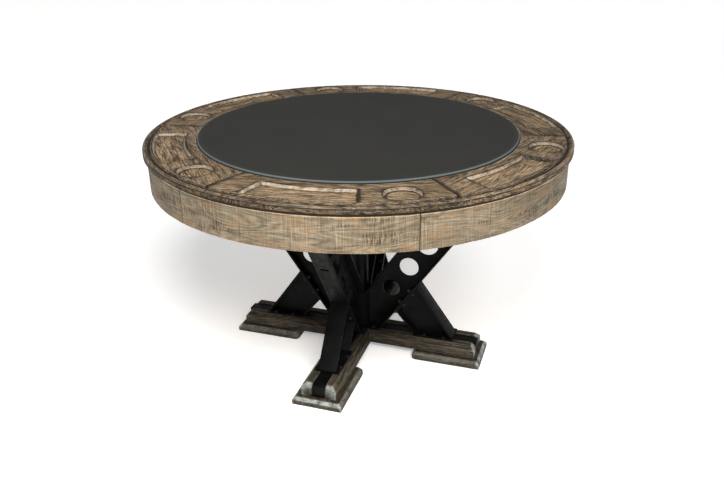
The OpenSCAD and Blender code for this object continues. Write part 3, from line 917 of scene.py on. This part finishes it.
def felt_faces(rows, columns):
    """The felt's faces: a closed ring of quads, with its middle filled above and below."""
    faces = grid_faces(rows, columns)
    last = (rows - 1) * columns
    faces += [(last + j, last + (j + 1) % columns, (j + 1) % columns, j) for j in range(columns)]
    middle_top = [i * columns for i in range(rows)]
    middle_under = [i * columns + columns - 1 for i in range(rows)]
    top, under = set(middle_top), set(middle_under)
    faces = [f for f in faces if top.isdisjoint(f) or under.isdisjoint(f)]
    return faces + [tuple(middle_top), tuple(reversed(middle_under))]


def felt_piece():
    """The felt: a thin cover with a soft rounded edge, turned under the panel."""
    outer, inner = felt_section()
    cover = Sweep(outer + inner, np.linspace(0, 360, FELT_ROWS, endpoint=False), 0)
    is_outer = np.tile(np.arange(cover.columns) < len(outer), cover.rows)
    points = cover.points()
    slack = field(points, 60, 51) * 0.25 + field(points, 17, 57) * 0.08
    near_edge = rise(cover.r, FELT_R - 60, FELT_R - 8)
    lift = np.where(is_outer & (cover.z > FELT_TOP - 1), (slack - 0.2) * near_edge, 0)
    cover.r = np.where(is_outer & (cover.r > FELT_R - 3), cover.r - 0.25 + slack * 0.6, cover.r)
    # painted highlight on the felt's rounded edge
    painted_rim_highlight = is_outer * rise(cover.r, FELT_R - 5.5, FELT_R - 2.5)
    painted_rim_highlight = painted_rim_highlight * rise(cover.z, FELT_TOP - 5.5, FELT_TOP - 3)
    cover.z = cover.z + lift
    obj = new_piece("felt_top", cover.points(), felt_faces(cover.rows, cover.columns), "felt",
                    {"painted_rim_highlight": painted_rim_highlight}, "felt_cover", "game_panel")
    shade(obj, 60)


# -------- the foot

def turned(points, arm, flip=False):
    """Points of the right arm, turned to foot arm 0 right, 1 back, 2 left or 3 front."""
    points = np.array(points, float)
    if flip:
        points[:, 1] *= -1
    return points @ np.array(Matrix.Rotation(math.radians(90 * arm), 3, "Z")).T


def rounded_corners(corners, radii):
    """A closed outline with each corner rounded to its radius."""
    step_deg = 18
    out = []
    for i, corner in enumerate(corners):
        p = Vector(corner)
        neighbours = corners[i - 1], corners[(i + 1) % len(corners)]
        a, b = [(Vector(q) - p).normalized() for q in neighbours]
        half = a.angle(b) / 2
        reach = radii[i] / math.tan(half)
        centre = p + (a + b).normalized() * (radii[i] / math.sin(half))
        v0, v1 = p + a * reach - centre, p + b * reach - centre
        sweep = math.pi - 2 * half
        steps = max(2, round(math.degrees(sweep) / step_deg))
        for s in range(steps + 1):
            f = s / steps
            w = v0 * math.sin((1 - f) * sweep) + v1 * math.sin(f * sweep)
            out.append(tuple(centre + w / math.sin(sweep)))
    return out


def between(p, q, count):
    """Points from p towards q, a share of 1 / count of the way apart, without q."""
    return [(p[0] + (q[0] - p[0]) * f / count, p[1] + (q[1] - p[1]) * f / count) for f in range(count)]


def filled(outline, step):
    """An outline with points added so that no side is longer than step."""
    out = []
    for p, q in zip(outline, outline[1:] + outline[:1]):
        count = max(1, math.ceil(math.dist(p, q) / step))
        out += between(p, q, count)
    return out


def weather(points, normals, seed, depth, size):
    """Moves points inwards along their normals by broad wear and small dents."""
    broad = field(points, size, seed) * 0.5 + field(points, size / 3.3, seed + 5) * 0.25
    dents = np.clip(field(points, size / 2.2, seed + 9) - 0.38, 0, 1) * 2.2
    return points + normals * (np.minimum(broad - 0.4, 0.05) - dents)[:, None] * depth


def beam_section():
    """A beam's closed section as (across, height), and its two points where the bevelled end folds."""
    z1 = BEAM_Z1
    corners = [(BEAM_GAP, BEAM_Z0), (BEAM_SIDE, BEAM_Z0), (BEAM_SIDE, z1 - BEAM_BEVEL),
               (BEAM_SIDE - BEAM_BEVEL, z1), (BEAM_GAP, z1)]
    section = np.array(filled(rounded_corners(corners, [1.2, 2.0, 3.0, 3.0, 1.5]), 4))
    fold_z = z1 - BEAM_END_BEVEL
    folds = []
    for y in (BEAM_GAP, BEAM_SIDE):
        on_side = np.where(np.abs(section[:, 0] - y) < 0.3)[0]
        folds.append(on_side[np.argmin(np.abs(section[on_side, 1] - fold_z))])
    section[folds, 1] = fold_z
    return section, sorted(folds)


def beam_faces(rows, columns, folds):
    """A beam's faces, with two at its far end that meet at the fold."""
    start, end = end_faces(rows, columns)
    a, b = folds
    return grid_faces(rows, columns) + [start, end[a:b + 1], end[b:] + end[:a + 1]]


def beam_piece(name, arm, flip, seed):
    """One beam of the foot, mitred at the middle, bevelled on its outer edge and end."""
    section, folds = beam_section()
    place = lines([0, 0.004, 0.94, 0.957, 0.965, 0.985, 0.995, 1], 0.0085)
    rows, columns = len(place), len(section)
    y, z = np.tile(section.T, rows)
    ny, nz = np.tile(section_normals(section).T, rows)
    s = y + np.repeat(place, columns) * (BEAM_END - y)
    cut = (s - (BEAM_END - BEAM_END_BEVEL)) - (BEAM_Z1 - z)
    lean = np.maximum(cut, 0) / 2
    s, z = s - lean, z - lean
    round_end = fall(BEAM_END - s, 0, 2.0) * 1.2
    y, z = y - ny * round_end, z - nz * round_end
    normals = np.stack([np.zeros_like(y), ny, nz], 1)
    points = weather(np.stack([s, y, z], 1), normals, seed, 0.7, 45)
    # painted shade between the beams and near the floor, and darker towards the hub in the table's shade
    in_gap = ridge(points[:, 1], BEAM_GAP, 4.0) * 0.8
    low = ridge(points[:, 2], BEAM_Z0, 6.0) * 0.7
    attributes = {"grain": np.stack([s + 1000 * seed, y, z], 1) * MM, "glaze_and_shade": np.maximum(in_gap, low),
                  "tone_and_painted_light": -0.55 * fall(s, 60, 400)}
    obj = new_piece("foot_" + name, turned(points, arm, flip), beam_faces(rows, columns, folds),
                    "foot_wood", attributes, name)
    # pale bevelled end: edge wear and a painted highlight
    mark_edges(obj, at_least=0.4 * rise(cut, 0.5, 2.5), reach=4.0)
    shade(obj, 40)


def pad_rings():
    """The pad's rings as (distance inside the outline, height), from the underside to the top."""
    low, high = PAD_LOW[2], PAD_HIGH[2]
    wall_top = high - PAD_BEVEL
    under = [(d, low) for d in (78, 60, 40, 20, 8, 2)]
    wall = [(0.8, low + 0.3), (0.1, low + 1.2), (0, low + 5), (0, low + 9), (0, wall_top - 1.6),
            (0.3, wall_top - 0.4), (1.0, wall_top + 0.6)]
    slope = [(d, wall_top + d) for d in (2.5, 5, 7.5, 9.5)]
    top = [(PAD_BEVEL - 0.9, high - 1.0), (PAD_BEVEL + 0.2, high - 0.3), (PAD_BEVEL + 1.6, high)]
    inside = [(d, high) for d in (16, 20, 26, 34, 44, 54, 64, 72, 78)]
    return under + wall + slope + top + inside


def even_rectangle(hx, hy, radii):
    """A rectangle with round corners and the same number of points whatever its size."""
    corner_at = [(-hx, -hy, 180), (hx, -hy, 270), (hx, hy, 0), (-hx, hy, 90)]
    corners = []
    for (cx, cy, first), radius in zip(corner_at, radii):
        centre = (cx - math.copysign(radius, cx), cy - math.copysign(radius, cy))
        corners.append(arc(centre, radius, first, first + 90, 7))
    out = []
    for i, corner in enumerate(corners):
        steps = 44 if i % 2 == 0 else 30
        out += corner + between(corner[-1], corners[(i + 1) % 4][0], steps)[1:]
    return out


def pad_points():
    """The points of the pad on the right arm, ring by ring."""
    centre, half_x = (PAD_LOW[0] + PAD_HIGH[0]) / 2, (PAD_HIGH[0] - PAD_LOW[0]) / 2
    points = []
    for inset, height in pad_rings():
        inner = max(16 - inset * 0.7, 0.8)
        outer = max(3.5 - inset * 0.2, 0.8)
        outline = even_rectangle(half_x - inset, PAD_HIGH[1] - inset, [inner, outer, outer, inner])
        points += [(centre + x, y, height) for x, y in outline]
    return np.array(points)


def pad_normals(points):
    """Normals of a pad for its wear: up, and outwards on its sides."""
    above_floor = points[:, 2] > PAD_LOW[2] + 2
    at_side = above_floor & (points[:, 2] < PAD_HIGH[2] - 2)
    radial = points[:, :2] - [(PAD_LOW[0] + PAD_HIGH[0]) / 2, 0]
    radial /= np.linalg.norm(radial, axis=1)[:, None]
    return np.column_stack([radial * at_side[:, None], above_floor])


def pad_piece(name, arm, seed):
    """One foot pad: rings of a round cornered rectangle, bevelled towards the top."""
    points = pad_points()
    x, y, z = points.T
    top = PAD_HIGH[2]
    grid = len(pad_rings()), len(points) // len(pad_rings())
    # painted shade near the floor, and a painted shadow beside the beams
    low = ridge(z, PAD_LOW[2], 4.0) * 0.9
    beside_beam = ridge(np.abs(y), PAD_SHADOW_Y, 5.0) * (z > top - 1) * 0.8
    attributes = {"grain": (points + [1500 * seed, 0, 0]) * MM, "glaze_and_shade": np.maximum(low, beside_beam)}
    worn = turned(weather(points, pad_normals(points), seed, 0.8, 50), arm)
    obj = new_piece("foot_" + name, worn, grid_faces(*grid) + end_faces(*grid), "foot_wood",
                    attributes, name)
    # pale bevels: edge wear and a painted highlight, most at the end
    on_bevel = rise(z, top - 12, top - 9) * fall(z, top - 2, top)
    at_end = rise(x, PAD_HIGH[0] - 14, PAD_HIGH[0] - 8)
    mark_edges(obj, at_least=on_bevel * (0.2 + 0.3 * at_end), reach=4.0)
    shade(obj, 40)


# -------- the ironwork and the hidden pieces

def soften_edges(mesh, width_mm):
    """Joins up a mesh's flat faces, and rounds its edges and marks them as worn."""
    weld_m, finest_m = 1e-5, 1e-6
    flat_deg, crease_deg = 1.0, 32
    bm = bmesh.new()
    bm.from_mesh(mesh)
    bmesh.ops.remove_doubles(bm, verts=bm.verts, dist=weld_m)
    bmesh.ops.dissolve_limit(bm, angle_limit=math.radians(flat_deg), verts=bm.verts, edges=bm.edges)
    limit = math.radians(crease_deg)
    sharp = [e for e in bm.edges if len(e.link_faces) == 2 and e.calc_face_angle(0) > limit]
    edge_layer = bm.faces.layers.float.new("edge")
    rounded = bmesh.ops.bevel(bm, geom=sharp, offset=width_mm * MM, segments=2, profile=0.6,
                              affect="EDGES", clamp_overlap=True, loop_slide=True)
    for face in rounded["faces"]:
        face[edge_layer] = 0.5
    bmesh.ops.remove_doubles(bm, verts=bm.verts, dist=finest_m)
    bmesh.ops.triangulate(bm, faces=[f for f in bm.faces if len(f.verts) > 4])
    bmesh.ops.recalc_face_normals(bm, faces=bm.faces)
    bm.to_mesh(mesh)
    bm.free()


def iron_piece(name, width_mm, new_name):
    """A copy of an iron CAD node with rounded edges."""
    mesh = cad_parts[name].data.copy()
    mesh.name = new_name
    soften_edges(mesh, width_mm)
    shade(stand_in(new_name, mesh, "table", "black_iron", name), 30)


# -------- building

for segment in range(SEGMENTS):
    rail_segment(segment)
    apron_piece(segment)
felt_piece()

PLYWOOD_NODES = ("deck", "rail_splines", "apron_backers", "glue_blocks", "panel_board")
ARMS = ["right", "back", "left", "front"]
for arm, arm_name in enumerate(ARMS):
    pad_piece("pad_" + arm_name, arm, 3.0 + arm)
    beam_piece(f"beam_{arm_name}_{ARMS[arm - 3]}", arm, False, 13.0 + arm)
    beam_piece(f"beam_{arm_name}_{ARMS[arm - 1]}", arm, True, 23.0 + arm)
    iron_piece("bracket_" + arm_name, 1.4, "arm_bracket_" + arm_name)
    iron_piece("strut_" + arm_name, 1.4, "arm_strut_" + arm_name)

for iron_name in ("column_top_plate", "spine_long", "spine_front", "spine_back", "spine_caps", "column"):
    iron_piece(iron_name, 0.8, "iron_" + iron_name)

for node_name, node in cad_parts.items():
    if node_name.endswith(("_screws", "_bolts", "_nuts")):
        paint(node, "fastener_steel")
    elif node_name.startswith("cleat_") or node_name in PLYWOOD_NODES:
        paint(node, "plywood")
paint(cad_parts["panel_foam"], "foam")


# -------- stage, light and camera

def floor():
    """A large white floor, a little lit from within like a bright backdrop."""
    half_m = 30.0
    white = Nodes("floor").finish((0.93, 0.93, 0.93), 0.7, Emission_Color=(1, 1, 1, 1),
                                  Emission_Strength=0.32)
    mesh = bpy.data.meshes.new("floor")
    corners = [(x * half_m, y * half_m, 0) for x, y in ((-1, -1), (1, -1), (1, 1), (-1, 1))]
    mesh.from_pydata(corners, [], [(0, 1, 2, 3)])
    mesh.materials.append(white)
    in_scene("floor", mesh)


def sky():
    """A white studio: pale walls, and a softer ceiling."""
    world = bpy.data.worlds.new("studio")
    world.use_nodes = True
    nodes, links = world.node_tree.nodes, world.node_tree.links
    split = nodes.new("ShaderNodeSeparateXYZ")
    links.new(nodes.new("ShaderNodeTexCoord").outputs["Generated"], split.inputs[0])
    ramp = nodes.new("ShaderNodeValToRGB")
    links.new(split.outputs["Z"], ramp.inputs[0])
    for element, (place, level) in zip(ramp.color_ramp.elements, [(0.14, 0.8), (0.55, 0.30)]):
        element.position = place
        element.color = (0.985 * level, 0.99 * level, level, 1)
    links.new(ramp.outputs[0], nodes["Background"].inputs["Color"])
    bpy.context.scene.world = world


def new_light(name, kind, strength, colour):
    """A light of the given kind; returns its object."""
    light = bpy.data.lights.new(name, kind)
    light.energy = strength
    light.color = colour
    return in_scene(name, light)


def sun(name, azimuth_deg, elevation_deg, strength, spread_deg, colour):
    """A very large, distant soft box in the given direction from the table."""
    obj = new_light(name, "SUN", strength, colour)
    obj.data.angle = math.radians(spread_deg)
    azimuth, elevation = math.radians(azimuth_deg), math.radians(elevation_deg)
    toward = Vector((math.cos(azimuth) * math.cos(elevation), math.sin(azimuth) * math.cos(elevation),
                     math.sin(elevation)))
    obj.rotation_euler = toward.to_track_quat("Z", "Y").to_euler()


def area_light(name, place, target, size, watts, colour):
    """A round soft box at a place, turned towards a target."""
    obj = new_light(name, "AREA", watts, colour)
    obj.data.shape = "DISK"
    obj.data.size = size
    obj.location = place
    obj.rotation_euler = (Vector(target) - Vector(place)).to_track_quat("-Z", "Y").to_euler()


def photo_camera():
    """A camera 2.43 m from the table's axis, looking down at 24.8 degrees."""
    azimuth, aim, pitch, roll = [math.radians(deg) for deg in (18.37, 18.16, 24.76, -0.45)]
    distance = 2.429
    height = RAIL_TOP * MM + 0.682
    obj = in_scene("photo_camera", bpy.data.cameras.new("photo_camera"))
    obj.data.sensor_width = 36
    obj.data.lens = 37.88
    turn = Matrix.Rotation(aim, 4, "Z") @ Matrix.Rotation(math.radians(90) - pitch, 4, "X")
    turn = turn @ Matrix.Rotation(roll, 4, "Z")
    place = Vector((distance * math.sin(azimuth), -distance * math.cos(azimuth), height))
    obj.matrix_world = Matrix.Translation(place) @ turn
    bpy.context.scene.camera = obj


floor()
sky()
sun("key", -52, 40, 1.9, 25, (1.0, 0.985, 0.96))
area_light("front_box", (0.45, -1.65, 2.2), (0.05, -0.5, 0.75), 1.1, 60, (1.0, 0.99, 0.97))
bpy.context.scene.view_settings.view_transform = "Standard"
photo_camera()
